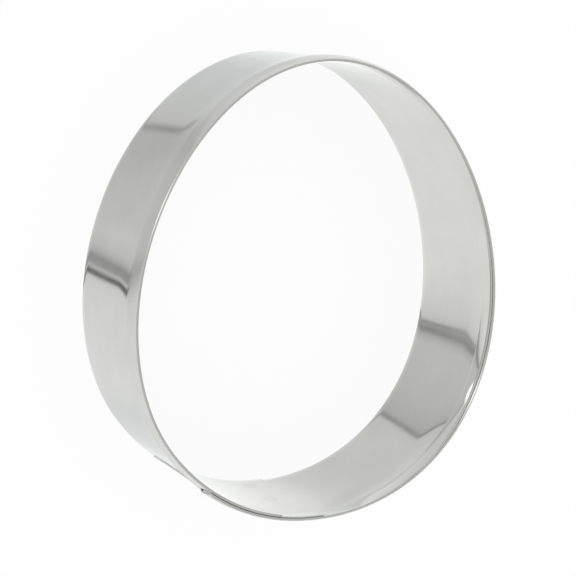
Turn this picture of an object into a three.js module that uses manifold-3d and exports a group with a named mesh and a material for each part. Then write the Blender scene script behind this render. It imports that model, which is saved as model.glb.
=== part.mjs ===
// Egg cookie cutter: one strip of tinplate with a folded hem along its top edge, bent round an egg-shaped
// former and closed by a spot-welded lap at the blunt end.
// Millimetres, +Z up. The cutting edge lies on Z = 0, the origin is under the middle of the cookie outline,
// and +Y points to the tip of the egg.
import * as THREE from "three";
import { mergeVertices } from "three/addons/utils/BufferGeometryUtils.js";
import Module from "manifold-3d";

// The cookie that the cutter makes, which is the inside of the wall
const COOKIE_LENGTH = 76;
const COOKIE_WIDTH = 65.2;
const BELLY_DROP = 3.55; // from mid-length to the widest place, towards the blunt end

// The strip and its rim
const DEPTH = 25.4; // cutting edge to the top of the hem
const SHEET = 0.22; // tinplate thickness
const FLARE_HEIGHT = 4.7; // the wall leans out over this height below the crease
const FLARE = 0.2; // how far it leans out
const RIM_HEIGHT = 4.2; // crease to the top of the hem
const RIM_LEAN = 0.43; // how far the wall bends back in from the crease to the fold
const HEM_WIDTH = 3; // top of the hem to the raw edge of the folded leg, inside the wall
const HEM_GAP = 0.06; // space left inside the fold where it is pressed flat
const HEM_OPEN = 0.73; // how far the raw edge springs away from the wall elsewhere
const HEM_CURL = 1.2; // above 1 the raw edge curls back towards the wall

// The lap: the strip's inner end lies under its outer end
const LAP_OFFSET = -2.1; // middle of the blunt end to the inner end
const LAP_LENGTH = 22;
const LAP_GAP = 0.06; // between the two layers
const LAP_FLAT = 0.3; // the stiff lap lies this far inside the egg at its outer end
const FLAT_REACH = 18; // and meets the egg again this far to both sides
const HEM_NOTCH = 8; // the inner end has its hem trimmed off over this length
const PRESS_FADE = 12; // beside the lap the hem goes from pressed flat to sprung open

// The spot welds that hold the lap
const WELD_DIAMETER = 3;
const WELD_EDGE = 4; // weld centre to the end or edge that it lies nearest
const WELD_DISH = 0.05; // depth of the electrode's mark on each face
const WELD_RIM = 0.3; // flat rim round the electrode's mark
const WELD_CLEARANCE = 0.05; // round each nugget in its hole

// How finely the curves are cut
const WALL_STEP = 2.4; // along the plain wall
const LAP_STEP = 1; // along the lap, where two layers lie close together
const FLARE_STEPS = 3;
const RIM_STEPS = 4;
const LEG_STEPS = 4;
const FOLD_STEPS = 6;
const GAP_STEPS = 2;
const DISH_STEPS = 2;
const WELD_SIDES = 24;

// Heights and thicknesses that follow from the sizes above
const hemThickness = 2 * SHEET + HEM_GAP;
const foldHeight = DEPTH - hemThickness / 2; // where the wall turns into the fold
const hemHeight = DEPTH - HEM_WIDTH; // raw edge of the folded leg
const creaseHeight = DEPTH - RIM_HEIGHT;
const flareHeight = creaseHeight - FLARE_HEIGHT; // top of the straight wall
const layerStep = SHEET + LAP_GAP; // outer layer over inner wall
const hemStep = hemThickness - SHEET; // extra room that the outer layer's hem takes in the lap
const flareRise = ((2 * FLARE) / FLARE_HEIGHT) * (foldHeight - creaseHeight); // the flare's slope, carried on

const TINPLATE = new THREE.MeshStandardMaterial({ color: 0xcdcdc8, roughness: 0.22, metalness: 1 });
const WELD_METAL = new THREE.MeshStandardMaterial({ color: 0xb9b8b2, roughness: 0.4, metalness: 1 });

// The egg: an ellipse whose belly is slid towards the blunt end by BELLY_DROP.
class CookieOutline extends THREE.Curve {
  getPoint(share, target = new THREE.Vector3()) {
    const turn = 2 * Math.PI * share;
    const belly = Math.sin(turn);
    const along = (COOKIE_LENGTH / 2) * Math.cos(turn) - BELLY_DROP * belly ** 2;
    return target.set((COOKIE_WIDTH / 2) * belly, along, 0);
  }
}

const outline = new CookieOutline();
outline.arcLengthDivisions = 2000;
const perimeter = outline.getLength();
const stripLength = perimeter + LAP_LENGTH;

// A place on the cookie outline, at a distance along the strip from its inner end, and the way out there.
function stationAt(distance) {
  const travelled = perimeter / 2 + LAP_OFFSET + distance;
  const share = (travelled % perimeter) / perimeter;
  const forward = outline.getTangentAt(share);
  return { point: outline.getPointAt(share), outward: new THREE.Vector3(-forward.y, forward.x, 0) };
}

// Runs smoothly from 0 at low to 1 at high.
const ramp = (value, low, high) => THREE.MathUtils.smoothstep(value, low, high);

// The share of the flare reached at a height: a parabola from the straight wall up to the crease.
const flareShare = (height) => THREE.MathUtils.clamp((height - flareHeight) / FLARE_HEIGHT, 0, 1) ** 2;

// How far the wall's inner face leans out from the cookie outline at a height: the flare up to the crease,
// then a second parabola that starts with the flare's slope, bends back in and goes on over the fold.
function wallLean(height) {
  const above = Math.max(height - creaseHeight, 0) / (foldHeight - creaseHeight);
  return FLARE * flareShare(height) + flareRise * above - (flareRise + RIM_LEAN) * above ** 2;
}

// The leg's share of the hem's spring: a parabola from 1 at the raw edge to 0 at the fold, and on over it.
function legSpring(height) {
  const climb = (height - hemHeight) / (foldHeight - hemHeight);
  return (1 - climb) * (1 + HEM_CURL * climb);
}

// How far the leg has sprung off the wall: pressed shut in both layers of the lap, open along the plain wall.
function hemSpring(distance) {
  const opening = ramp(distance, LAP_LENGTH, LAP_LENGTH + PRESS_FADE);
  const closing = ramp(distance, perimeter - PRESS_FADE, perimeter);
  return HEM_OPEN * opening * (1 - closing);
}

// How far a layer of the lap lies off the egg. The inner layer drifts in towards its end and the outer one
// drifts out towards its own, so that they stay one sheet apart, or one hem apart from the raw edge up.
function lapShift(distance, height) {
  const isOuter = distance > perimeter;
  const place = isOuter ? distance - perimeter : distance;
  const apart = layerStep + hemStep * ramp(height, creaseHeight, hemHeight);
  const drift = ramp(place, 0, LAP_LENGTH);
  const away = THREE.MathUtils.clamp((place - LAP_LENGTH) / FLAT_REACH, -1, 1);
  const flatness = (LAP_FLAT / 2) * (1 + Math.cos(Math.PI * away));
  return apart * (isOuter ? drift : drift - 1) - flatness;
}

// Even steps from one value to another, without the first.
function steps(from, to, count) {
  return Array.from({ length: count }, (_, k) => from + ((to - from) * (k + 1)) / count);
}

// The section of the strip as [distance out from the cookie outline, height, share of the hem's spring].
// The wall goes up its inner face and down its outer face. The hook is the rest of the hem's outline,
// from the top of the inner face, round the folded leg and over the fold to the top of the outer face.
const wallHeights = [
  0,
  flareHeight,
  ...steps(flareHeight, creaseHeight, FLARE_STEPS),
  ...steps(creaseHeight, foldHeight, RIM_STEPS),
];
const wallInside = wallHeights.map((height) => [wallLean(height), height, 0]);
const wallOutside = wallHeights.map((height) => [wallLean(height) + SHEET, height, 0]).reverse();
const hook = [
  ...foldArc(HEM_GAP / 2, GAP_STEPS),
  ...legFace(HEM_GAP),
  ...legFace(HEM_GAP + SHEET).reverse(),
  ...foldArc(hemThickness / 2, FOLD_STEPS).reverse(),
];

// The inner points of a half circle over the fold, from the wall's side to the leg's side. It follows the
// wall's lean and takes over the leg's spring towards the leg, so that neither side has a kink.
function foldArc(radius, count) {
  const middle = SHEET - hemThickness / 2;
  return steps(0, Math.PI, count).slice(0, -1).map((angle) => {
    const height = foldHeight + radius * Math.sin(angle);
    const legSide = (1 - Math.cos(angle)) / 2;
    return [middle + radius * Math.cos(angle) + wallLean(height), height, legSide * legSpring(height)];
  });
}

// One face of the folded leg, from the fold down to the raw edge, at a distance inside the wall's inner face.
function legFace(inside) {
  return [foldHeight, ...steps(foldHeight, hemHeight, LEG_STEPS)].map((height) => {
    return [wallLean(height) - inside, height, legSpring(height)];
  });
}

// Distances along the strip where it has a ring of points, spaced evenly between the places that need one.
// Both layers of the lap have rings at the same places, so their facets lie parallel.
function stripStations() {
  const stretches = [
    [0, HEM_NOTCH, LAP_STEP],
    [HEM_NOTCH, LAP_LENGTH, LAP_STEP],
    [LAP_LENGTH, perimeter, WALL_STEP],
    [perimeter, perimeter + HEM_NOTCH, LAP_STEP],
    [perimeter + HEM_NOTCH, stripLength, LAP_STEP],
  ];
  const stations = [0];
  for (const [from, to, step] of stretches) stations.push(...steps(from, to, Math.ceil((to - from) / step)));
  return { stations, notchStation: stations.indexOf(HEM_NOTCH) };
}

// The band as one closed surface: rings of section points joined station by station. The hook starts at the
// notch, so the section grows there and the hook's end is closed by its own cap.
function bandGeometry() {
  const { stations, notchStation } = stripStations();
  const wall = [...wallInside, ...wallOutside];
  const topInside = wallInside.length - 1;
  const topOutside = wallInside.length;
  const positions = [];
  const triangles = [];

  // Where a section point lies off the cookie outline at a distance along the strip.
  function reachAt([out, height, spring], distance) {
    return out - spring * hemSpring(distance) + lapShift(distance, height);
  }

  function addRing(section, distance) {
    const { point, outward } = stationAt(distance);
    return section.map((sectionPoint) => {
      const place = point.clone().addScaledVector(outward, reachAt(sectionPoint, distance));
      positions.push(place.x, place.y, sectionPoint[1]);
      return positions.length / 3 - 1;
    });
  }

  function addQuad(a, b, c, d) {
    triangles.push(a, b, c, a, c, d);
  }

  // Joins two rings along a list of neighbouring points.
  function addStrip(near, far) {
    for (let k = 0; k + 1 < near.length; k++) addQuad(near[k], far[k], far[k + 1], near[k + 1]);
  }

  function addCap(section, ring, distance, facesForward) {
    const contour = section.map((sectionPoint) => {
      return new THREE.Vector2(reachAt(sectionPoint, distance), sectionPoint[1]);
    });
    for (const [a, b, c] of THREE.ShapeUtils.triangulateShape(contour, [])) {
      if (facesForward) triangles.push(ring[a], ring[b], ring[c]);
      else triangles.push(ring[a], ring[c], ring[b]);
    }
  }

  const wallRings = stations.map((distance) => addRing(wall, distance));
  const hookRings = stations.map((distance, k) => (k < notchStation ? null : addRing(hook, distance)));
  // The hem's outline with the two wall points that it starts and ends on.
  const hemRing = (k) => [wallRings[k][topInside], ...hookRings[k], wallRings[k][topOutside]];
  const hemSection = [wall[topInside], ...hook, wall[topOutside]];
  const wholeRing = (k) => [
    ...wallRings[k].slice(0, topOutside),
    ...hookRings[k],
    ...wallRings[k].slice(topOutside),
  ];
  const wholeSection = [...wallInside, ...hook, ...wallOutside];

  for (let k = 0; k + 1 < stations.length; k++) {
    const near = wallRings[k];
    const far = wallRings[k + 1];
    addStrip(near.slice(0, topOutside), far.slice(0, topOutside));
    addStrip(near.slice(topOutside), far.slice(topOutside));
    addStrip([near.at(-1), near[0]], [far.at(-1), far[0]]);
    if (k < notchStation) {
      addStrip([near[topInside], near[topOutside]], [far[topInside], far[topOutside]]);
    } else {
      addStrip(hemRing(k), hemRing(k + 1));
    }
  }
  addCap(wall, wallRings[0], 0, false);
  addCap(hemSection, hemRing(notchStation), HEM_NOTCH, false);
  addCap(wholeSection, wholeRing(stations.length - 1), stripLength, true);

  const geometry = new THREE.BufferGeometry();
  geometry.setAttribute("position", new THREE.Float32BufferAttribute(positions, 3));
  geometry.setIndex(triangles);
  return geometry;
}

// Boolean cuts
const wasm = await Module();
wasm.setup();

function toSolid(geometry) {
  const bare = geometry.clone();
  bare.deleteAttribute("normal");
  bare.deleteAttribute("uv");
  const merged = mergeVertices(bare);
  const vertProperties = new Float32Array(merged.attributes.position.array);
  const triVerts = new Uint32Array(merged.index.array);
  return new wasm.Manifold(new wasm.Mesh({ numProp: 3, vertProperties, triVerts }));
}

function toGeometry(solid) {
  const mesh = solid.getMesh();
  const geometry = new THREE.BufferGeometry();
  geometry.setAttribute("position", new THREE.BufferAttribute(mesh.vertProperties, mesh.numProp));
  geometry.setIndex(new THREE.BufferAttribute(mesh.triVerts, 1));
  geometry.computeVertexNormals();
  return geometry;
}

// The middle of the two layers of the lap at a distance along its inner layer.
function lapMiddle(distance, height) {
  const { point, outward } = stationAt(distance);
  const out = lapShift(distance, height) + SHEET + LAP_GAP / 2;
  return point.addScaledVector(outward, out).setZ(height);
}

// Each weld lies near one end of the lap and near the cutting edge or the top of the straight wall. It points
// straight across the lap there.
function weldPlaces() {
  const columns = { inner: WELD_EDGE, outer: LAP_LENGTH - WELD_EDGE };
  const rows = { lower: WELD_EDGE, upper: flareHeight - WELD_EDGE };
  const places = [];
  for (const [column, distance] of Object.entries(columns)) {
    for (const [row, height] of Object.entries(rows)) {
      const before = lapMiddle(distance - WELD_DIAMETER / 2, height);
      const after = lapMiddle(distance + WELD_DIAMETER / 2, height);
      const centre = before.clone().lerp(after, 0.5);
      const forward = after.sub(before).normalize();
      const across = new THREE.Vector3(-forward.y, forward.x, 0);
      const turn = new THREE.Quaternion().setFromUnitVectors(new THREE.Vector3(0, 1, 0), across);
      places.push({ name: `spot_weld_${column}_${row}`, centre, turn });
    }
  }
  return places;
}

// The hole that a drilled-out weld leaves through both layers, cut with room to spare at each end.
function weldHole({ centre, turn }) {
  const radius = WELD_DIAMETER / 2 + WELD_CLEARANCE;
  const hole = new THREE.CylinderGeometry(radius, radius, WELD_DIAMETER, WELD_SIDES);
  hole.applyQuaternion(turn).translate(centre.x, centre.y, centre.z);
  return toSolid(hole);
}

// A weld nugget: a plug through both layers, with a shallow dish inside a flat rim in each face.
function weldNugget({ name, centre, turn }) {
  const radius = WELD_DIAMETER / 2;
  const dishRadius = radius - WELD_RIM;
  const half = SHEET + LAP_GAP / 2;
  const face = [];
  for (let step = 0; step <= DISH_STEPS; step++) {
    const share = step / DISH_STEPS;
    face.push(new THREE.Vector2(dishRadius * share, half - WELD_DISH * (1 - share ** 2)));
  }
  face.push(new THREE.Vector2(radius, half));
  const underside = face.map(({ x, y }) => new THREE.Vector2(x, -y));
  const profile = [...underside, ...face.reverse()];
  const nugget = new THREE.Mesh(new THREE.LatheGeometry(profile, WELD_SIDES), WELD_METAL);
  nugget.name = name;
  nugget.position.copy(centre);
  nugget.quaternion.copy(turn);
  return nugget;
}

function cutterBand(places) {
  let solid = toSolid(bandGeometry());
  for (const place of places) solid = solid.subtract(weldHole(place));
  const band = new THREE.Mesh(toGeometry(solid), TINPLATE);
  band.name = "cutter_band";
  return band;
}

const places = weldPlaces();
const cutter = new THREE.Group();
cutter.add(cutterBand(places));
for (const place of places) cutter.add(weldNugget(place));

export default cutter;
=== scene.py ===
# %% [markdown]
# # An egg cookie cutter in bright tinplate
# The real cutter is one strip of thin tinned steel. Its top edge is folded over into a hem that is kind to
# the hand, its lower edge stays bare to cut dough, and its two ends lap at the blunt end of the egg, where
# spot welds hold them. This lesson builds that strip again as a fine surface around the CAD frame, gives it
# the finish of rolled tinplate and lights it in a small studio.

# %% Load the frame
import math

import bpy
import numpy as np
from mathutils import Matrix, Vector


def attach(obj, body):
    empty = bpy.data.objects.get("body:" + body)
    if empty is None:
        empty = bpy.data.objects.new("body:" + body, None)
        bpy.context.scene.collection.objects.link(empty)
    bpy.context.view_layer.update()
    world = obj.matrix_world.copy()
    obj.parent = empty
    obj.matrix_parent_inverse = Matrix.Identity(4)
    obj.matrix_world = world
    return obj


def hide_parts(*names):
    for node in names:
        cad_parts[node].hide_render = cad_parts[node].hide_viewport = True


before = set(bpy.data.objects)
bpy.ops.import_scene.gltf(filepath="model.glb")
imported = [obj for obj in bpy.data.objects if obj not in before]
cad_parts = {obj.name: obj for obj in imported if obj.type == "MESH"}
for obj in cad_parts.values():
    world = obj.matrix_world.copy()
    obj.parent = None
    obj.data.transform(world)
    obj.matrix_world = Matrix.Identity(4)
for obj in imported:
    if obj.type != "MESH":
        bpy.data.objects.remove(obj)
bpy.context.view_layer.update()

print("frame nodes:", sorted(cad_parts))

# %% [markdown]
# ## The egg
# The cookie is the inside of the wall, so the strip grows outwards from it. An egg could be drawn by hand
# with a Bezier curve, but a formula stays smooth and keeps its sizes: take an ellipse and slide its belly
# towards the blunt end. The cutter's sizes are in millimetres, and unless a cell says otherwise they are
# those that the CAD part was made from. Blender works in metres, so each mesh gets its points in metres.

# %% Egg
MM = 0.001
COOKIE_LENGTH = 76.0
COOKIE_WIDTH = 65.2
BELLY_DROP = 3.55  # from mid-length to the widest place, towards the blunt end


def egg_point(turn):
    """Half the width times sin(turn) across, half the length times cos(turn) along, less the belly's drop
    times sin squared."""
    across = COOKIE_WIDTH / 2 * np.sin(turn)
    along = COOKIE_LENGTH / 2 * np.cos(turn) - BELLY_DROP * np.sin(turn) ** 2
    return np.stack([across, along], axis=-1)


def egg_outward(turn):
    """The unit direction out of the egg: the path's derivative, turned a quarter to the left."""
    across = COOKIE_WIDTH / 2 * np.cos(turn)
    along = -COOKIE_LENGTH / 2 * np.sin(turn) - 2 * BELLY_DROP * np.sin(turn) * np.cos(turn)
    outward = np.stack([-along, across], axis=-1)
    return outward / np.linalg.norm(outward, axis=-1, keepdims=True)


print("tip at", egg_point(0.0), "and blunt end at", egg_point(np.pi).round(2), "mm")

# %% [markdown]
# ## The egg as a path
# A strip of metal is measured along its length, so the path is read by distance and not by angle. A curve
# object could give that too, but numpy does it in three lines: the distance is summed along many short
# chords and looked up the other way round. The strip is longer than the egg's perimeter by its lap.

# %% Path by distance
LAP_OFFSET = -2.1  # middle of the blunt end to the inner end of the strip
LAP_LENGTH = 22.0
CHORDS = 20000

chord_turns = np.linspace(0, 2 * np.pi, CHORDS + 1)
chord_lengths = np.linalg.norm(np.diff(egg_point(chord_turns), axis=0), axis=1)
travelled = np.concatenate([[0], np.cumsum(chord_lengths)])
perimeter = travelled[-1]
strip_length = perimeter + LAP_LENGTH


def turn_at(distance):
    """The egg's angle at a distance along the strip, counted from its inner end."""
    place = (perimeter / 2 + LAP_OFFSET + distance) % perimeter
    return np.interp(place, travelled, chord_turns)


print(f"egg perimeter {perimeter:.1f} mm, strip length {strip_length:.1f} mm")

# %% [markdown]
# ## The sizes of the section
# Cut the strip across and you see a straight wall that leans out a little up to a soft crease, bends back in
# above it in one smooth curve, and folds over into a leg that comes down inside. The leg has sprung away
# from the wall and curls back towards it at its raw edge. All heights follow from the few sizes below, so
# one change carries through the whole section.

# %% Section sizes
DEPTH = 25.4  # cutting edge to the top of the hem
SHEET = 0.22  # tinplate thickness
FLARE_HEIGHT = 4.7  # the wall leans out over this height below the crease
FLARE = 0.2  # by this much
RIM_HEIGHT = 4.2  # crease to the top of the hem
RIM_LEAN = 0.43  # how far the wall bends back in from the crease to the fold
HEM_WIDTH = 3.0  # top of the hem to the raw edge of the folded leg, inside the wall
HEM_GAP = 0.06  # space left inside the fold where it is pressed flat
HEM_CURL = 1.2  # above 1 the raw edge curls back towards the wall

hem_thickness = 2 * SHEET + HEM_GAP
fold_height = DEPTH - hem_thickness / 2
hem_foot = DEPTH - HEM_WIDTH
crease = DEPTH - RIM_HEIGHT
flare_foot = crease - FLARE_HEIGHT
flare_rise = 2 * FLARE / FLARE_HEIGHT * (fold_height - crease)  # what the flare's slope would go on to add

print(f"straight wall up to {flare_foot:.1f} mm, crease at {crease:.1f}, hem from {hem_foot:.1f} to {DEPTH}")

# %% [markdown]
# ## The curves of the section
# A press brake leaves soft bends in sheet metal. Straight lines with rounded corners would come close, but
# bright metal shows every kink as a line. Parabolas that share their slope where they meet have none.

# %% Section curves


def share_between(value, low, high):
    """Straight from 0 at low to 1 at high, level outside."""
    return np.clip((value - low) / (high - low), 0, 1)


def flare_share(height):
    """0 on the straight wall, rising as a parabola to 1 at the crease."""
    return share_between(height, flare_foot, crease) ** 2


def wall_lean(height):
    """The inner face's distance out from the cookie: the flare up to the crease, then a second parabola that
    starts with the flare's slope, bends back in and goes on over the fold."""
    above = np.maximum(height - crease, 0) / (fold_height - crease)
    return FLARE * flare_share(height) + flare_rise * above - (flare_rise + RIM_LEAN) * above ** 2


def leg_spring(height):
    """The leg's share of the hem's spring: a parabola from 1 at the raw edge to 0 at the fold, and on over
    it, so that the leg runs into the fold without a kink."""
    climb = (height - hem_foot) / (fold_height - hem_foot)
    return (1 - climb) * (1 + HEM_CURL * climb)


print(f"lean {wall_lean(crease):.2f} mm at the crease and {wall_lean(fold_height):.2f} mm at the fold")

# %% [markdown]
# ## The points of the wall
# Each point of the section is a distance out from the cookie, a height, and a share of the spring that opens
# the hem. The sheared cutting edge could be left square, as in the CAD part, but real metal has no perfectly
# sharp edge and a small arc catches the light, so its two corners are arcs.

# %% Wall points
EDGE_ROUND = 0.06  # a sheared edge is a little rounded
WALL_POINTS, FLARE_POINTS, RIM_POINTS, CORNER_POINTS = 16, 12, 18, 5


def arc(centre, radius, start, end, count):
    """Points on a circle from one angle to another, in degrees."""
    angle = np.radians(np.linspace(start, end, count))
    return centre[0] + radius * np.cos(angle), centre[1] + radius * np.sin(angle)


def joined(*stretches):
    """One list of section points (out, height, share of the hem's spring) from several stretches."""
    filled = [np.broadcast_arrays(*stretch) for stretch in stretches]
    return np.concatenate([np.stack(stretch, axis=-1) for stretch in filled])


wall_heights = np.concatenate([
    np.linspace(EDGE_ROUND, flare_foot, WALL_POINTS)[:-1],
    np.linspace(flare_foot, crease, FLARE_POINTS)[:-1],
    np.linspace(crease, fold_height, RIM_POINTS),
])
cut_inner = arc((EDGE_ROUND, EDGE_ROUND), EDGE_ROUND, 270, 180, CORNER_POINTS)
cut_outer = arc((SHEET - EDGE_ROUND, EDGE_ROUND), EDGE_ROUND, 360, 270, CORNER_POINTS)
wall_up = joined((cut_inner[0][:-1], cut_inner[1][:-1], 0), (wall_lean(wall_heights), wall_heights, 0))
wall_down = joined(
    (wall_lean(wall_heights[::-1]) + SHEET, wall_heights[::-1], 0),
    (cut_outer[0][1:], cut_outer[1][1:], 0),
)
wall_section = np.concatenate([wall_up, wall_down])
print("wall points:", len(wall_section))

# %% [markdown]
# ## The points of the hem
# The hem is the same sheet, folded over a half circle and brought down inside. It could be a separate bead,
# but then its fold would have no hollow and its raw edge no thickness. So the section goes once round the
# folded leg: over the inside of the fold, down the leg's back, round the raw edge, up its face and back over
# the outside of the fold. Where the hem is trimmed off, a plain rounded edge tops the tongue that is left.

# %% Hem points
LEG_POINTS, NOSE_POINTS = 12, 15


def nose(radius, count):
    """A half circle over the fold, from the wall's side to the leg's, that follows the wall's lean and takes
    over the leg's spring towards the leg."""
    across, height = arc((SHEET - hem_thickness / 2, fold_height), radius, 0, 180, count)
    leg_side = (1 - np.cos(np.linspace(0, np.pi, count))) / 2
    return across + wall_lean(height), height, leg_side * leg_spring(height)


nose_in = nose(HEM_GAP / 2, CORNER_POINTS)
nose_out = nose(hem_thickness / 2, NOSE_POINTS)
leg_heights = np.linspace(fold_height, hem_foot + EDGE_ROUND, LEG_POINTS)
leg_back = wall_lean(leg_heights) - HEM_GAP
leg_face = leg_back - SHEET
raw_back = arc((leg_back[-1] - EDGE_ROUND, leg_heights[-1]), EDGE_ROUND, 360, 270, CORNER_POINTS)
raw_face = arc((leg_face[-1] + EDGE_ROUND, leg_heights[-1]), EDGE_ROUND, 270, 180, CORNER_POINTS)
hem = joined(
    [part[1:-1] for part in nose_in],
    (leg_back, leg_heights, leg_spring(leg_heights)),
    (raw_back[0][1:], raw_back[1][1:], 1),
    (raw_face[0], raw_face[1], 1),
    (leg_face[::-1][1:], leg_heights[::-1][1:], leg_spring(leg_heights[::-1][1:])),
    [part[-2:0:-1] for part in nose_out],
)
tongue_arc = arc((wall_lean(fold_height) + SHEET / 2, fold_height), SHEET / 2, 180, 0, CORNER_POINTS + 2)
tongue = joined((tongue_arc[0][1:-1], tongue_arc[1][1:-1], 0))
print("hem points:", len(hem), "and tongue points:", len(tongue))

# %% [markdown]
# ## The lap
# At the blunt end the strip passes outside its own beginning. Neither layer is bent sharply: the inner one
# drifts in towards its end and the outer one drifts out, so that together they keep one sheet's distance,
# and one hem's distance higher up. A step would be simpler, but it would show as a dent, and smooth ramps
# don't. The layers lie closer together than in the CAD part, as pressed sheets do.

# %% Lap
LAP_GAP = 0.02  # between the two layers
LAP_FLAT = 0.3  # the stiff lap lies this far inside the egg at its outer end
FLAT_REACH = 18.0  # and meets the egg again this far to both sides

layer_step = SHEET + LAP_GAP
hem_step = hem_thickness - SHEET


def ramp(value, low, high):
    """Smoothstep: 0 below low, 1 above high, level at both ends."""
    share = share_between(value, low, high)
    return share * share * (3 - 2 * share)


def lap_flat(place):
    """The lap's own flatness: a raised cosine round its outer end, pointing into the egg."""
    share = np.clip((place - LAP_LENGTH) / FLAT_REACH, -1, 1)
    return -LAP_FLAT * (1 + np.cos(np.pi * share)) / 2


def lap_shift(distance, height):
    """How far a layer lies off the egg: the inner one in, the outer one out, one sheet's distance apart, or
    one hem's from the raw edge up."""
    outer = distance > perimeter
    place = np.where(outer, distance - perimeter, distance)
    apart = layer_step + hem_step * ramp(height, crease, hem_foot)
    drift = ramp(place, 0, LAP_LENGTH)
    return apart * np.where(outer, drift, drift - 1) + lap_flat(place)


print(f"the inner end lies {lap_shift(0.0, 0.0):.2f} mm off the egg at the cutting edge")

# %% [markdown]
# ## What the hand and the press left uneven
# Hand-bent tinplate is never quite true. The hem is pressed shut in the lap and has sprung open beside it,
# a faint waviness of a hundredth of a millimetre makes reflections wander, and a bow leaves the left side a
# little hollow and the right side a little full. The last two are not in the CAD part. Noise could make them,
# but a few sines stay smooth and depend on the place on the egg alone, so both layers of the lap move alike.

# %% Spring and waviness
HEM_OPEN = 0.73  # how far the raw edge springs away from the wall
PRESS_FADE = 12.0  # beside the lap the hem goes from pressed flat to sprung open
BOW = 0.16  # at half the crease's height
WAVE_HEIGHT = 0.012  # of the strongest wave
WAVES = [  # strength, count round the egg, shift, twist up the wall, swell up the wall, its shift
    (1.0, 7, 1.3, 0.0, 1.1, 0.4),
    (0.7, 13, -2.1, 0.9, 0.0, 0.0),
    (0.35, 23, 0.6, -1.7, 0.0, 0.0),
]
RIM_STIFFNESS = 0.6  # the folded rim takes this share off the waves


def hem_spring(distance):
    """How far the hem has sprung open: shut in both layers of the lap, open along the plain wall."""
    opening = ramp(distance, LAP_LENGTH, LAP_LENGTH + PRESS_FADE)
    return HEM_OPEN * opening * (1 - ramp(distance, perimeter - PRESS_FADE, perimeter))


def waviness(turn, height):
    """The sum of strength times sin(count times turn, shifted and twisted) times cos(swell), weaker in the
    rim, plus a parabola up the wall whose height follows the sine of the turn."""
    up = height / DEPTH * np.pi
    wave = sum(
        strength * np.sin(count * turn + shift + twist * up) * np.cos(swell * up + swell_shift)
        for strength, count, shift, twist, swell, swell_shift in WAVES
    )
    climb = share_between(height, 0, crease)
    bow = BOW * np.sin(turn) * 4 * climb * (1 - climb)
    return bow + WAVE_HEIGHT * wave * (1 - RIM_STIFFNESS * share_between(height, crease, DEPTH))


print(f"the hem stands {hem_spring(perimeter / 2):.2f} mm open beside the tip")

# %% [markdown]
# ## The section carried along the path
# The section is swept round the egg as a grid: one row for each station, one column for each section point.
# Blender's own bevelled curve could sweep a fixed section, but this one changes on the way, so all points
# come from whole arrays, with no loop over vertices. The sine of the turn makes the rim's bends stronger on
# the right side and weaker on the left, because a rim that is folded by hand never comes out as even as the
# CAD part's. The strip's inner end has no hem, so the grid has three blocks: the wall, the hem, and the
# tongue's top edge.

# %% Sweep
HEM_NOTCH = 8.0  # the inner end has its hem trimmed off over this length
PLAIN_STEP, LAP_STEP = 0.5, 0.4  # between stations
UNEVEN = 0.65  # the rim's form is this much stronger on the right side and weaker on the left


def evenly(start, end, step):
    """Evenly spaced values from start up to, but without, end."""
    return np.linspace(start, end, math.ceil((end - start) / step), endpoint=False)


def swept(section, distances):
    """Each section point carried to each station: the egg, plus the outward direction times the point's
    distance out, with the lap, the hem's spring and the waviness added."""
    turn = turn_at(distances)[:, None]
    out, height, spring = section.T
    height = np.broadcast_to(height, (len(distances), len(section)))
    uneven = UNEVEN * np.sin(turn)
    out = out + uneven * wall_lean(height) - spring * (1 + uneven) * hem_spring(distances)[:, None]
    out = out + lap_shift(distances[:, None], height) + waviness(turn, height)
    flat = egg_point(turn) + egg_outward(turn) * out[..., None]
    return np.concatenate([flat, height[..., None]], axis=-1)


stations = np.concatenate([
    evenly(0, HEM_NOTCH, LAP_STEP),
    evenly(HEM_NOTCH, LAP_LENGTH, LAP_STEP),
    evenly(LAP_LENGTH, perimeter, PLAIN_STEP),
    evenly(perimeter, strip_length, LAP_STEP),
    [strip_length],
])
notch = int(np.searchsorted(stations, HEM_NOTCH))
wall_block = swept(wall_section, stations)
hem_block = swept(hem, stations[notch:])
tongue_block = swept(tongue, stations[: notch + 1])
blocks = [wall_block, hem_block, tongue_block]
print(f"{len(stations)} stations, the hem starts at number {notch}")

# %% [markdown]
# ## The faces of the band
# The sheet is one closed body, so its surface has to be closed too. The blocks could be welded by merging
# points that lie together, but in a lap other points lie as close. So the blocks share their border columns
# by number, quads fill the grids, and three flat caps close the ends of the strip and the notch.

# %% Band faces


def quads(ids):
    """The four-cornered faces between neighbouring rows and columns of a grid of vertex numbers."""
    corners = [ids[:-1, :-1], ids[1:, :-1], ids[1:, 1:], ids[:-1, 1:]]
    return np.stack(corners, axis=-1).reshape(-1, 4).tolist()


starts = np.cumsum([0] + [block[..., 0].size for block in blocks])
wall_ids, hem_ids, tongue_ids = (
    start + np.arange(block[..., 0].size).reshape(block.shape[:2]) for start, block in zip(starts, blocks)
)
top_in, top_out = len(wall_up) - 1, len(wall_up)
top_ids = np.hstack([wall_ids[notch:, [top_in]], hem_ids, wall_ids[notch:, [top_out]]])
lip_ids = np.hstack([wall_ids[: notch + 1, [top_in]], tongue_ids, wall_ids[: notch + 1, [top_out]]])
cut_ids = wall_ids[:, [-1, 0]]

faces = quads(wall_ids[:, :top_out]) + quads(wall_ids[:, top_out:]) + quads(cut_ids)
faces += quads(top_ids) + quads(lip_ids)
inner_cap = np.concatenate([wall_ids[0, :top_out], tongue_ids[0], wall_ids[0, top_out:]])
notch_cap = np.concatenate([top_ids[0], tongue_ids[-1, ::-1]])
outer_cap = np.concatenate([wall_ids[-1, :top_out], hem_ids[-1], wall_ids[-1, top_out:]])
faces += [inner_cap.tolist(), notch_cap.tolist(), outer_cap[::-1].tolist()]
print("band faces:", len(faces))

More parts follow.
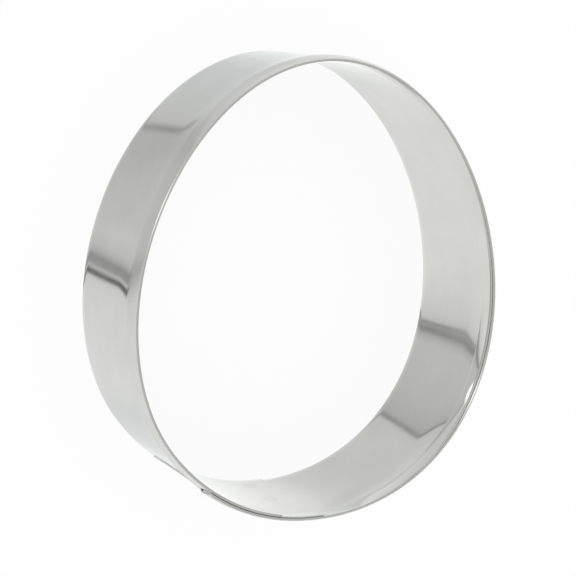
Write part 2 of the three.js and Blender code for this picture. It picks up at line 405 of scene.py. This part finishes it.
# %% [markdown]
# ## The band as a mesh
# On the real cutter the bends are soft and the sheared edges are crisp. Smooth shading everywhere would blur
# the edges, so faces that meet at a wide angle are marked sharp. The object stays at the origin, and its
# place is in its mesh, as it is with a CAD node.

# %% Band mesh
SHARP_ANGLE = 40  # degrees


def mesh_piece(name, points_mm, faces):
    """A new object at the origin whose mesh holds these points, given in millimetres."""
    mesh = bpy.data.meshes.new(name)
    mesh.from_pydata((points_mm * MM).tolist(), [], faces)
    mesh.shade_smooth()
    mesh.set_sharp_from_angle(angle=math.radians(SHARP_ANGLE))
    piece = bpy.data.objects.new(name, mesh)
    bpy.context.scene.collection.objects.link(piece)
    return piece


band_points = np.concatenate([block.reshape(-1, 3) for block in blocks])
band = mesh_piece("tinplate_band", band_points, faces)
print(f"band: {len(band_points)} points, {len(faces)} faces")

# %% [markdown]
# ## Where a point lies on the flat strip
# Rolled sheet has a grain along the strip. It follows neither X, Y nor Z, and a UV map would need a seam, so
# the mesh carries an attribute: the distance along and across the strip in millimetres, as if the strip had
# been rolled out flat again.

# %% Strip coordinates


def across_strip(section):
    """The distance walked over the section's points, which is the strip's own width unrolled."""
    return np.concatenate([[0], np.cumsum(np.linalg.norm(np.diff(section[:, :2], axis=0), axis=1))])


def strip_coordinates(distances, section, start):
    """Along and across for every point of a swept block, with the across count starting at start."""
    along, across = np.meshgrid(distances, start + across_strip(section), indexing="ij")
    return np.stack([along, across, np.zeros_like(along)], axis=-1).reshape(-1, 3)


strip = np.concatenate([
    strip_coordinates(stations, wall_section, 0),
    strip_coordinates(stations[notch:], hem, fold_height),
    strip_coordinates(stations[: notch + 1], tongue, fold_height),
])
band.data.attributes.new("strip_mm", "FLOAT_VECTOR", "POINT").data.foreach_set("vector", strip.ravel())
print("strip coordinates up to", strip.max(axis=0).round(1), "mm")

# %% [markdown]
# ## Sheared edges and a rubbed rim
# Shears leave a burnished line along the edges of the sheet, and the tool that folded the hem rubbed the
# fold and the outside of the rim a little dull. Separate materials would end at a hard line, so two more
# attributes say how close a point is to a sheared edge and how much the tool worked it. The sheared edges
# also get a paler colour, a painted highlight that lightens the dark lines of shade along them.

# %% Marks on the band
EDGE_BURNISH_AND_HIGHLIGHT = 0.2  # the burnished line and its painted highlight reach this far up from the cutting edge
RAW_EDGE_SHINE = 0.4  # the leg's raw edge was sheared before the folding and gets less burnish and less painted highlight
RUB_START, RUB_END = crease - 0.3, crease + 0.9  # the tool's mark fades in over these heights


def add_mark(piece, name, values):
    """One number for each point of a piece, which its finish reads by this name."""
    marks = piece.data.attributes.new(name, "FLOAT", "POINT").data
    marks.foreach_set("value", values.astype(np.float32))


raw_edge = np.concatenate([
    np.zeros(wall_block[..., 0].size),
    np.tile(RAW_EDGE_SHINE * (hem[:, 2] == 1), len(stations) - notch),
    np.zeros(tongue_block[..., 0].size),
])
# The sheared mask also paints a highlight: it makes the cutting edge, the raw edge and the strip's outer end
# paler than the tin, which lightens the dark lines of shade along them.
sheared = np.maximum(np.clip(1 - band_points[:, 2] / EDGE_BURNISH_AND_HIGHLIGHT, 0, 1), raw_edge)
sheared = np.maximum(sheared, strip[:, 0] == strip_length)
add_mark(band, "sheared", sheared)

outer_face = np.arange(len(wall_section)) >= top_out
worked = np.concatenate([
    (outer_face * ramp(wall_block[..., 2], RUB_START, RUB_END)).ravel(),
    (hem_block[..., 2] > fold_height).ravel(),
    np.zeros(tongue_block[..., 0].size),
])
add_mark(band, "worked", worked)
print("points on sheared edges:", np.count_nonzero(sheared))
print("points on the rubbed rim:", np.count_nonzero(worked))

# %% [markdown]
# ## The form of a spot weld
# A resistance weld leaves a shallow round dish on each face of the lap, inside a slightly raised ring where
# metal was pushed aside. The CAD part has a plain plug with a deeper dish and a flat rim. A flat disc
# would stand off the curved sheet, so a profile of radius and height is carried round a circle on the lap's
# own two faces, and each nugget goes right through both layers.

# %% Weld form
WELD_DIAMETER = 3.0
WELD_RING = 0.014  # how far the ring stands proud of the sheet
WELD_DISH = 0.012  # how far the middle of the dish lies below the ring
WELD_SINK = SHEET / 4  # how far the edge goes down into the sheet
DISH_FLOOR, DISH_LIP, RING_EDGE = 0.45, 0.8, 0.82  # shares of the radius
WELD_SIDES, WELD_RINGS = 64, 14


def weld_profile():
    """Radius and height over the sheet from the middle of a face out: a dish, a rounded ring, and an edge
    that sinks into the sheet."""
    share = np.linspace(0, 1, WELD_RINGS + 1)
    dish = -WELD_DISH * (1 - ramp(share, DISH_FLOOR, DISH_LIP))
    edge = -(WELD_RING + WELD_SINK) * ramp(share, RING_EDGE, 1.0)
    return share * WELD_DIAMETER / 2, WELD_RING + dish + edge


def weld_face(place, height, radius, level, outside):
    """Points at these radii round a weld's centre, laid on the lap's outer or inner face and raised from it
    by the level."""
    angle = np.linspace(2 * np.pi, 0, WELD_SIDES, endpoint=False)
    along = place + radius[:, None] * np.cos(angle)
    up = height + radius[:, None] * np.sin(angle)
    turn = turn_at(along)
    if outside:
        out = lap_shift(along + perimeter, up) + SHEET + level[:, None]
    else:
        out = lap_shift(along, up) - level[:, None]
    flat = egg_point(turn) + egg_outward(turn) * (out + waviness(turn, up))[..., None]
    return np.concatenate([flat, up[..., None]], axis=-1).reshape(-1, 3)


print(f"weld levels from {weld_profile()[1].min():.3f} to {weld_profile()[1].max():.3f} mm over the sheet")

# %% [markdown]
# ## Four weld nuggets
# Such a lap needs a pair of welds near each end of the strip, one low and one high. A nugget's two faces
# meet at a buried edge, so quads join all rings in one row, and a fan of triangles closes each pole.

# %% Weld nuggets
WELD_EDGE = 4.0  # weld centre to the end or edge that it lies nearest


def weld_points(place, height):
    """The outer face from the middle out, the inner face from its edge in, then the two poles."""
    radius, level = weld_profile()
    outer = weld_face(place, height, radius, level, True)
    inner = weld_face(place, height, radius, level, False)
    poles = [outer[0], inner[0]]
    inner_rings = inner.reshape(-1, WELD_SIDES, 3)[:0:-1].reshape(-1, 3)
    radius = np.concatenate([radius[1:], radius[:0:-1]])
    return np.concatenate([outer[WELD_SIDES:], inner_rings, poles]), radius


def weld_faces():
    """Quads between rings, closed round the circle, and a fan of triangles at each pole."""
    first_pole = 2 * WELD_RINGS * WELD_SIDES
    ids = np.arange(first_pole).reshape(2 * WELD_RINGS, WELD_SIDES)
    ids = np.hstack([ids, ids[:, :1]])
    pole = np.full(WELD_SIDES, first_pole)
    near = np.stack([pole, ids[0, :-1], ids[0, 1:]], axis=-1).tolist()
    far = np.stack([pole + 1, ids[-1, 1:], ids[-1, :-1]], axis=-1).tolist()
    return quads(ids) + near + far


welds = {}
for column, place in {"inner": WELD_EDGE, "outer": LAP_LENGTH - WELD_EDGE}.items():
    for row, height in {"lower": WELD_EDGE, "upper": flare_foot - WELD_EDGE}.items():
        points, radius = weld_points(place, height)
        weld = mesh_piece(f"weld_mark_{column}_{row}", points, weld_faces())
        reach = np.concatenate([np.repeat(radius, WELD_SIDES), [0, 0]]) / (WELD_DIAMETER / 2)
        add_mark(weld, "reach", reach)
        welds[f"spot_weld_{column}_{row}"] = weld
print("weld marks:", sorted(welds))

# %% [markdown]
# ## Colours and nodes
# Colours are written as sRGB hex values, the way a paint program shows them, and one function turns them
# into the linear values that the renderer works with. Another small function adds a shader node, sets its
# properties, and fills or links its sockets, so that a finish reads as a list of its layers.

# %% Colour and node helpers


def linear(hex_colour):
    """An sRGB hex colour as linear red, green, blue and alpha: a dark channel over 12.92, any other plus
    0.055, over 1.055, to the power of 2.4."""
    channels = [int(hex_colour[i:i + 2], 16) / 255 for i in (1, 3, 5)]
    return [c / 12.92 if c <= 0.04045 else ((c + 0.055) / 1.055) ** 2.4 for c in channels] + [1.0]


def grey(level):
    """The same linear level in red, green and blue."""
    return [level, level, level, 1.0]


def new_material(name):
    """A material with an empty node tree."""
    material = bpy.data.materials.new(name)
    material.use_nodes = True
    material.node_tree.nodes.clear()
    return material


def add_node(tree, kind, inputs=None, stops=None, **settings):
    """A node of this kind. Inputs are values or other nodes' outputs, stops fill a colour ramp."""
    node = tree.nodes.new(kind)
    for name, value in settings.items():
        setattr(node, name, value)
    for socket, value in (inputs or {}).items():
        if isinstance(value, bpy.types.NodeSocket):
            tree.links.new(value, node.inputs[socket])
        else:
            node.inputs[socket].default_value = value
    for number, (place, colour) in enumerate(stops or []):
        elements = node.color_ramp.elements
        element = elements[number] if number < 2 else elements.new(place)
        element.position = place
        element.color = colour
    return node


print("tin in linear light:", [round(c, 3) for c in linear("#DADAD6")[:3]])

# %% [markdown]
# ## The patterns in rolled tin
# Tinplate is cold-rolled steel with a thin bright coat of tin. The rolls leave a fine grain along the strip,
# and handling leaves faint cloudy patches. Two noises draw them on the strip's own coordinates, one of them
# stretched. The grain is about 0.35 mm wide, coarser than real rolling lines, so that it shows.

# %% Tin patterns
GRAIN_WIDTH, GRAIN_LENGTH, CLOUD_WIDTH = 0.35, 45.0, 9.0


def tin_patterns(tree):
    """A noise stretched along the strip for the grain, and a round one for the clouds."""
    place = add_node(tree, "ShaderNodeAttribute", attribute_name="strip_mm").outputs["Vector"]
    stretched = add_node(tree, "ShaderNodeMapping", {
        "Vector": place, "Scale": (1 / GRAIN_LENGTH, 1 / GRAIN_WIDTH, 1)})
    grain = add_node(tree, "ShaderNodeTexNoise", {
        "Vector": stretched.outputs[0], "Scale": 1.0, "Detail": 3.0, "Roughness": 0.6})
    clouds = add_node(tree, "ShaderNodeTexNoise", {
        "Vector": place, "Scale": 1 / CLOUD_WIDTH, "Detail": 4.0, "Roughness": 0.55})
    return grain.outputs["Fac"], clouds.outputs["Fac"]


print(f"grain {GRAIN_WIDTH} mm wide, clouds {CLOUD_WIDTH} mm across")

# %% [markdown]
# ## Rolled tinplate
# A metal's colour is all in its reflection, so metallic is 1 and the interest comes from a roughness that
# varies: low on clean tin, higher in the clouds and on the rubbed rim, with the grain on top. A flat colour
# and one roughness would look like plastic film. The sheared edges are burnished, and their paler colour is
# a painted highlight that lightens the dark lines of shade along them.

# %% Tinplate finish
FAINT_CLOUD, DULL_FROM, THICK_CLOUD = 0.3, 0.35, 0.7  # levels of the cloud noise
CLEAN, CLOUDY, BURNISHED = 0.04, 0.08, 0.12  # roughness
GRAINY, RUBBED = 0.03, 0.16  # roughness that the grain and the tool add
GRAIN_DEPTH = 0.0004  # of the rolling lines


def tin_colour(tree, clouds, edge):
    """Two greys mixed by the clouds, and a paler one at sheared edges, which is a painted highlight."""
    tin = add_node(tree, "ShaderNodeValToRGB", {"Fac": clouds}, stops=[
        (FAINT_CLOUD, linear("#D6D7D2")), (THICK_CLOUD, linear("#DDDEDA"))])
    # F4F4F0 at sheared edges is a painted highlight, paler than the tin itself.
    colour = add_node(tree, "ShaderNodeMix", {
        "Factor": edge, "A": tin.outputs["Color"], "B": linear("#F4F4F0")}, data_type="RGBA")
    return colour.outputs["Result"]


def tin_roughness(tree, grain, clouds, rubbed, edge):
    """Clean to cloudy by the clouds, plus what the grain and the tool add, and burnished at sheared edges."""
    cloud_rough = add_node(tree, "ShaderNodeMapRange", {
        "Value": clouds, "From Min": DULL_FROM, "From Max": THICK_CLOUD, "To Min": CLEAN, "To Max": CLOUDY})
    grain_rough = add_node(tree, "ShaderNodeMath", {
        0: grain, 1: GRAINY, 2: cloud_rough.outputs[0]}, operation="MULTIPLY_ADD")
    rim_rough = add_node(tree, "ShaderNodeMath", {
        0: rubbed, 1: RUBBED, 2: grain_rough.outputs[0]}, operation="MULTIPLY_ADD")
    rough = add_node(tree, "ShaderNodeMix", {
        "Factor": edge, "A": rim_rough.outputs[0], "B": BURNISHED}, data_type="FLOAT")
    return rough.outputs["Result"]


def rolled_tinplate():
    """Bright tin: low roughness with a long grain along the strip, soft clouds, a duller rim, and burnished
    edges with a painted highlight of paler colour."""
    material = new_material("rolled_tinplate")
    tree = material.node_tree
    edge = add_node(tree, "ShaderNodeAttribute", attribute_name="sheared").outputs["Fac"]
    rubbed = add_node(tree, "ShaderNodeAttribute", attribute_name="worked").outputs["Fac"]
    grain, clouds = tin_patterns(tree)
    bump = add_node(tree, "ShaderNodeBump", {
        "Height": grain, "Strength": 1.0, "Distance": GRAIN_DEPTH * MM})
    shader = add_node(tree, "ShaderNodeBsdfPrincipled", {
        "Base Color": tin_colour(tree, clouds, edge), "Metallic": 1.0,
        "Roughness": tin_roughness(tree, grain, clouds, rubbed, edge), "Normal": bump.outputs[0]})
    add_node(tree, "ShaderNodeOutputMaterial", {"Surface": shader.outputs[0]})
    return material


band.data.materials.append(rolled_tinplate())
print("band finish:", band.data.materials[0].name)

# %% [markdown]
# ## Weld-marked tinplate
# The electrode melts the tin for an instant and presses it flat, so the dish is duller than the sheet, and a
# faint straw-coloured ring of heat is left round it. A painted ring would need its own mesh, so the finish
# follows the share of the weld's radius instead, with fine specks where the tin boiled.

# %% Weld finish
SPECK = 0.25  # across
DISH_ROUGH, SPECK_ROUGH = 0.1, 0.08


def weld_marked_tinplate():
    """Dull tin in the dish, a faint warm ring, and the sheet's own brightness at the edge."""
    material = new_material("weld_marked_tinplate")
    tree = material.node_tree
    reach = add_node(tree, "ShaderNodeAttribute", attribute_name="reach").outputs["Fac"]
    where = add_node(tree, "ShaderNodeTexCoord").outputs["Object"]
    specks = add_node(tree, "ShaderNodeTexNoise", {
        "Vector": where, "Scale": 1 / (SPECK * MM), "Detail": 2.0})
    colour = add_node(tree, "ShaderNodeValToRGB", {"Fac": reach}, stops=[
        (0.0, linear("#D6D6D2")), (0.55, linear("#D3D2CD")), (0.8, linear("#D6D4CB")),
        (1.0, linear("#DADAD6"))])
    rough = add_node(tree, "ShaderNodeMath", {
        0: specks.outputs["Fac"], 1: SPECK_ROUGH, 2: DISH_ROUGH}, operation="MULTIPLY_ADD")
    shader = add_node(tree, "ShaderNodeBsdfPrincipled", {
        "Base Color": colour.outputs["Color"], "Metallic": 1.0, "Roughness": rough.outputs[0]})
    add_node(tree, "ShaderNodeOutputMaterial", {"Surface": shader.outputs[0]})
    return material


weld_finish = weld_marked_tinplate()
for weld in welds.values():
    weld.data.materials.append(weld_finish)
print("weld finish:", weld_finish.name)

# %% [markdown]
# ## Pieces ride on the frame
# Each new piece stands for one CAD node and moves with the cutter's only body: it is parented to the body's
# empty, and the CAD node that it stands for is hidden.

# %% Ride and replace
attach(band, "root")
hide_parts("cutter_band")
for node, weld in welds.items():
    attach(weld, "root")
    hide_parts(node)

# %% [markdown]
# ## A studio for the metal to mirror: the grey wall
# Bright metal shows the room and little else. Lamps alone would leave it black between their highlights, so
# the world is a small studio that only reflections see. Its main part is a grey wall in front of pale
# sheets. Each edge of the wall is a plane through the object, so a reflection's place across it is one dot
# product over the sum of two: 0 at the near edge, 1 at the far one. Dark lines run along both edges, crisp
# close to the floor and softer higher up, so there are two lists of places and levels across the wall.

# %% Grey wall
WALL_NEAR_EDGE = Vector((0.2443, 0.9527, -0.1809))
WALL_FAR_EDGE = Vector((-0.2281, -0.9126, -0.3394))
CRISP_LEVELS = [
    (-0.5, 0.88), (-0.1, 0.83), (-0.026, 0.78),  # pale sheet before the wall
    (-0.011, 0.15), (0.01, 0.15), (0.02, 0.57),  # dark line along the near edge
    (0.032, 0.67), (0.047, 0.4), (0.09, 0.36), (0.12, 0.56),  # a gap, then a fainter line
    (0.16, 0.66), (0.26, 0.73), (0.34, 0.69), (0.58, 0.64),  # the wall
    (0.7, 0.61), (0.77, 0.58), (0.85, 0.58), (0.882, 0.56),
    (0.896, 0.36), (0.91, 0.34), (0.926, 0.57),  # line along the far edge
    (0.945, 0.67), (1.08, 0.69), (1.5, 0.73),  # pale sheet beyond
]
SOFT_LEVELS = [
    (-0.5, 0.92), (-0.2, 0.83), (-0.07, 0.765), (-0.032, 0.69),  # pale sheet before the wall
    (-0.015, 0.43), (0.0, 0.39), (0.024, 0.45),  # softer line along the near edge
    (0.054, 0.36), (0.086, 0.36), (0.118, 0.53),  # the second line runs into it
    (0.16, 0.62), (0.22, 0.68), (0.34, 0.68), (0.58, 0.66),  # the wall
    (0.74, 0.65), (0.88, 0.63), (1.0, 0.6), (1.076, 0.56),
    (1.104, 0.4), (1.124, 0.35), (1.142, 0.55),  # line along the far edge
    (1.156, 0.73), (1.3, 0.74), (1.5, 0.76),  # pale sheet beyond
]


def grey_wall(tree, gaze, lift):
    """Levels across the wall by near / (near + far), crisp where lift is 0 and soft where it is 1."""
    near = add_node(tree, "ShaderNodeVectorMath", {0: gaze, 1: WALL_NEAR_EDGE}, operation="DOT_PRODUCT")
    both = add_node(tree, "ShaderNodeVectorMath", {
        0: gaze, 1: WALL_NEAR_EDGE + WALL_FAR_EDGE}, operation="DOT_PRODUCT")
    share = add_node(tree, "ShaderNodeMath", {
        0: near.outputs["Value"], 1: both.outputs["Value"]}, operation="DIVIDE")
    first, last = CRISP_LEVELS[0][0], CRISP_LEVELS[-1][0]
    spread = add_node(tree, "ShaderNodeMapRange", {
        "Value": share.outputs[0], "From Min": first, "From Max": last})
    crisp, soft = [
        add_node(tree, "ShaderNodeValToRGB", {"Fac": spread.outputs[0]}, stops=[
            ((place - first) / (last - first), grey(level)) for place, level in levels])
        for levels in (CRISP_LEVELS, SOFT_LEVELS)]
    wall = add_node(tree, "ShaderNodeMix", {
        "Factor": lift, "A": crisp.outputs["Color"], "B": soft.outputs["Color"]}, data_type="RGBA")
    return wall.outputs["Result"]


print(f"grey wall with {len(CRISP_LEVELS)} crisp and {len(SOFT_LEVELS)} soft levels")

# %% [markdown]
# ## The open side of the studio
# To the right of the wall the studio is open and light comes in, a little cool close to the floor and
# stronger towards the blunt end. All white would wash the metal out in views from that side, so a grey card
# stands there at mid-height. It could be a mesh, but as a band of heights in the world it casts no shadow.

# %% Open side
OPEN_LEVELS = [
    (0.0, 0.738), (0.2, 0.75),  # beside the wall
    (0.3, 0.82), (0.36, 0.91), (0.42, 0.97), (0.48, 1.02), (1.0, 1.02),  # out in the light
]
DAYLIGHT = linear("#F9FDFE")
GLOW, GLOW_FULL, GLOW_END = 0.19, -0.3, 0.2  # added light, whole at the first Y and gone at the second
LOW_GLOW = 0.4  # close to the floor only this share of it
CARD_HEIGHT, CARD_HALF, CARD_FADE = -0.45, 0.1, 0.22  # its middle, and where its edge starts and ends
CARD_LEVEL = 0.62


def open_side(tree, axes, lift):
    """Levels that rise with X, times the daylight's tint where lift is 0, plus a glow that rises as Y falls,
    all times the card's level where the height is within a band."""
    levels = add_node(tree, "ShaderNodeValToRGB", {"Fac": axes["X"]}, stops=[
        (place, grey(level)) for place, level in OPEN_LEVELS])
    tint = add_node(tree, "ShaderNodeMix", {
        "Factor": lift, "A": DAYLIGHT, "B": grey(1.0)}, data_type="RGBA")
    cooled = add_node(tree, "ShaderNodeVectorMath", {
        0: levels.outputs["Color"], 1: tint.outputs["Result"]}, operation="MULTIPLY")
    sunny = add_node(tree, "ShaderNodeMapRange", {
        "Value": axes["Y"], "From Min": GLOW_FULL, "From Max": GLOW_END, "To Min": GLOW, "To Max": 0.0})
    reach = add_node(tree, "ShaderNodeMapRange", {"Value": lift, "To Min": LOW_GLOW})
    glow = add_node(tree, "ShaderNodeMath", {
        0: sunny.outputs[0], 1: reach.outputs[0]}, operation="MULTIPLY")
    sunlit = add_node(tree, "ShaderNodeVectorMath", {
        0: cooled.outputs[0], 1: glow.outputs[0]}, operation="ADD")
    above = add_node(tree, "ShaderNodeMath", {0: axes["Z"], 1: CARD_HEIGHT}, operation="SUBTRACT")
    away = add_node(tree, "ShaderNodeMath", {0: above.outputs[0]}, operation="ABSOLUTE")
    card = add_node(tree, "ShaderNodeMapRange", {
        "Value": away.outputs[0], "From Min": CARD_HALF, "From Max": CARD_FADE,
        "To Min": CARD_LEVEL, "To Max": 1.0}, interpolation_type="SMOOTHSTEP")
    carded = add_node(tree, "ShaderNodeVectorMath", {
        0: sunlit.outputs[0], "Scale": card.outputs[0]}, operation="SCALE")
    return carded.outputs[0]


print(f"open side at levels {OPEN_LEVELS[0][1]} to {OPEN_LEVELS[-1][1]}")

# %% [markdown]
# ## A pale sheet and a window
# A pale sheet over the tip gives the sprung hem its light streak, and one tall window gives it a white
# glint. A lamp would light the floor as well. So both are shares of the world: the sheet is three fades
# multiplied, one for each axis, and the window is the closeness of two directions.

# %% Sheet and window
TIP_SHEET_FADES = [("X", -0.45, 0.15), ("Y", 0.48, 0.64), ("Z", -0.84, -0.72)]
WINDOW = Vector((-0.918, 0.378, 0.07)).normalized()
WINDOW_SQUAT = 0.15  # a height counts this little, which makes the window tall
WINDOW_DROP = 0.03  # added to the squashed height, which sets the window lower
WINDOW_EDGE, WINDOW_FULL = 0.990, 0.993  # cosines of the angle to its middle


def tip_sheet_share(tree, axes):
    """The product of three smooth fades."""
    across, along, up = [
        add_node(tree, "ShaderNodeMapRange", {
            "Value": axes[axis], "From Min": start, "From Max": end}, interpolation_type="SMOOTHSTEP")
        for axis, start, end in TIP_SHEET_FADES]
    corner = add_node(tree, "ShaderNodeMath", {
        0: across.outputs[0], 1: along.outputs[0]}, operation="MULTIPLY")
    sheet = add_node(tree, "ShaderNodeMath", {0: corner.outputs[0], 1: up.outputs[0]}, operation="MULTIPLY")
    return sheet.outputs[0]


def window_share(tree, gaze):
    """1 where the direction, with its height squashed, has nearly the window's own direction."""
    squashed = add_node(tree, "ShaderNodeVectorMath", {
        0: gaze, 1: (1, 1, WINDOW_SQUAT), 2: (0, 0, WINDOW_DROP)}, operation="MULTIPLY_ADD")
    level_gaze = add_node(tree, "ShaderNodeVectorMath", {0: squashed.outputs[0]}, operation="NORMALIZE")
    facing = add_node(tree, "ShaderNodeVectorMath", {
        0: level_gaze.outputs[0], 1: WINDOW}, operation="DOT_PRODUCT")
    window = add_node(tree, "ShaderNodeMapRange", {
        "Value": facing.outputs["Value"], "From Min": WINDOW_EDGE, "From Max": WINDOW_FULL})
    return window.outputs[0]


print("window towards", [round(c, 2) for c in WINDOW])

# %% [markdown]
# ## The studio as a world
# The parts are laid over each other like cards: the wall, the open side beside it, the sheet over the tip,
# the dim room above, and the window on top. Only reflections see them. Everything else sees plain white,
# which keeps the light on the floor at level 1.

# %% Studio world
LIFT_FADE = ("Z", -0.91, -0.865)  # from crisp lines to soft ones
SIDE_FADE = ("X", -0.14, 0.04)  # from the wall to the open side
RISE_FADE = ("Z", -0.12, 0.15)  # from the cards to the room
TIP_SHEET_LEVEL, ROOM_LEVEL, WINDOW_LEVEL = 0.95, 0.6, 1.6


def studio_world():
    """White for the camera and for diffuse light, and a studio of pale and grey cards for reflections."""
    world = bpy.data.worlds.new("studio")
    world.use_nodes = True
    tree = world.node_tree
    tree.nodes.clear()
    gaze = add_node(tree, "ShaderNodeTexCoord").outputs["Generated"]
    axes = add_node(tree, "ShaderNodeSeparateXYZ", {"Vector": gaze}).outputs
    lift, beside, rise = [
        add_node(tree, "ShaderNodeMapRange", {
            "Value": axes[axis], "From Min": start, "From Max": end},
            interpolation_type="SMOOTHSTEP").outputs[0]
        for axis, start, end in (LIFT_FADE, SIDE_FADE, RISE_FADE)]

    light = grey_wall(tree, gaze, lift)
    for share, card in (
            (beside, open_side(tree, axes, lift)),
            (tip_sheet_share(tree, axes), grey(TIP_SHEET_LEVEL)),
            (rise, grey(ROOM_LEVEL)),
            (window_share(tree, gaze), grey(WINDOW_LEVEL))):
        laid = add_node(tree, "ShaderNodeMix", {"Factor": share, "A": light, "B": card}, data_type="RGBA")
        light = laid.outputs["Result"]

    ray = add_node(tree, "ShaderNodeLightPath")
    mirrored = add_node(tree, "ShaderNodeBackground", {"Color": light, "Strength": 1.0})
    plain = add_node(tree, "ShaderNodeBackground", {"Color": grey(1.0), "Strength": 1.0})
    seen = add_node(tree, "ShaderNodeMixShader", {
        0: ray.outputs["Is Glossy Ray"], 1: plain.outputs[0], 2: mirrored.outputs[0]})
    add_node(tree, "ShaderNodeOutputWorld", {"Surface": seen.outputs[0]})
    return world


bpy.context.scene.world = studio_world()
print("world:", bpy.context.scene.world.name)

# %% [markdown]
# ## The floor
# A sheet of matt white paper carries the cutter and its soft shadow. It is hidden from reflections, so that
# the metal mirrors the studio's own cards. A brighter lamp would clip the metal, so a little light of the
# paper's own lifts it to white for the camera instead.

# %% Floor
FLOOR_HALF = 3000.0
SHADOW_SHARE = 0.08  # the camera sees this share of the real shadow


def paper_floor():
    """A square of matt white paper just under the cutting edge."""
    corners = np.array([[-1, -1, 0], [1, -1, 0], [1, 1, 0], [-1, 1, 0]]) * FLOOR_HALF
    floor = mesh_piece("floor", corners, [[0, 1, 2, 3]])
    material = new_material("matt_white_paper")
    tree = material.node_tree
    ray = add_node(tree, "ShaderNodeLightPath")
    matt = add_node(tree, "ShaderNodeBsdfDiffuse", {"Color": linear("#FDFDFD")})
    own_light = add_node(tree, "ShaderNodeEmission", {"Color": grey(1.0), "Strength": 1.0})
    lifted = add_node(tree, "ShaderNodeMixShader", {
        0: 1 - SHADOW_SHARE, 1: matt.outputs[0], 2: own_light.outputs[0]})
    seen = add_node(tree, "ShaderNodeMixShader", {
        0: ray.outputs["Is Camera Ray"], 1: matt.outputs[0], 2: lifted.outputs[0]})
    add_node(tree, "ShaderNodeOutputMaterial", {"Surface": seen.outputs[0]})
    floor.data.materials.append(material)
    floor.visible_glossy = False
    return floor


paper_floor()

# %% [markdown]
# ## The camera
# The camera could be placed by eye, but it was found by fitting the egg's rim, its cutting edge and the wall
# between them to the picture: it stands above the left side of the cutter and looks down on it through a
# long lens, with the tip up.

# %% Camera
CAMERA_PLACE = Vector((-127.93, 43.3, 275.25))
CAMERA_AIM = Vector((0.43061, -0.15031, -0.88993)).normalized()
CAMERA_UP = Vector((0.0156, 0.98713, -0.15917))
IMAGE_WIDTH, FOCAL_PIXELS, SENSOR = 576, 1750, 36.0
NEAREST, FARTHEST = 0.01, 20.0  # metres

lens = bpy.data.cameras.new("camera")
lens.sensor_width = SENSOR
lens.lens = SENSOR * FOCAL_PIXELS / IMAGE_WIDTH
lens.clip_start, lens.clip_end = NEAREST, FARTHEST
camera = bpy.data.objects.new("camera", lens)
bpy.context.scene.collection.objects.link(camera)
right = CAMERA_AIM.cross(CAMERA_UP).normalized()
up = right.cross(CAMERA_AIM)
camera.matrix_world = Matrix.LocRotScale(
    CAMERA_PLACE * MM, Matrix((right, up, -CAMERA_AIM)).transposed().to_quaternion(), None
)
bpy.context.scene.camera = camera
print(f"lens {lens.lens:.0f} mm, {CAMERA_PLACE.length:.0f} mm from the origin")

# %% [markdown]
# ## Close the lesson
# The view transform is Standard, so that colours come out as written.

# %% Finish
bpy.context.scene.view_settings.view_transform = "Standard"
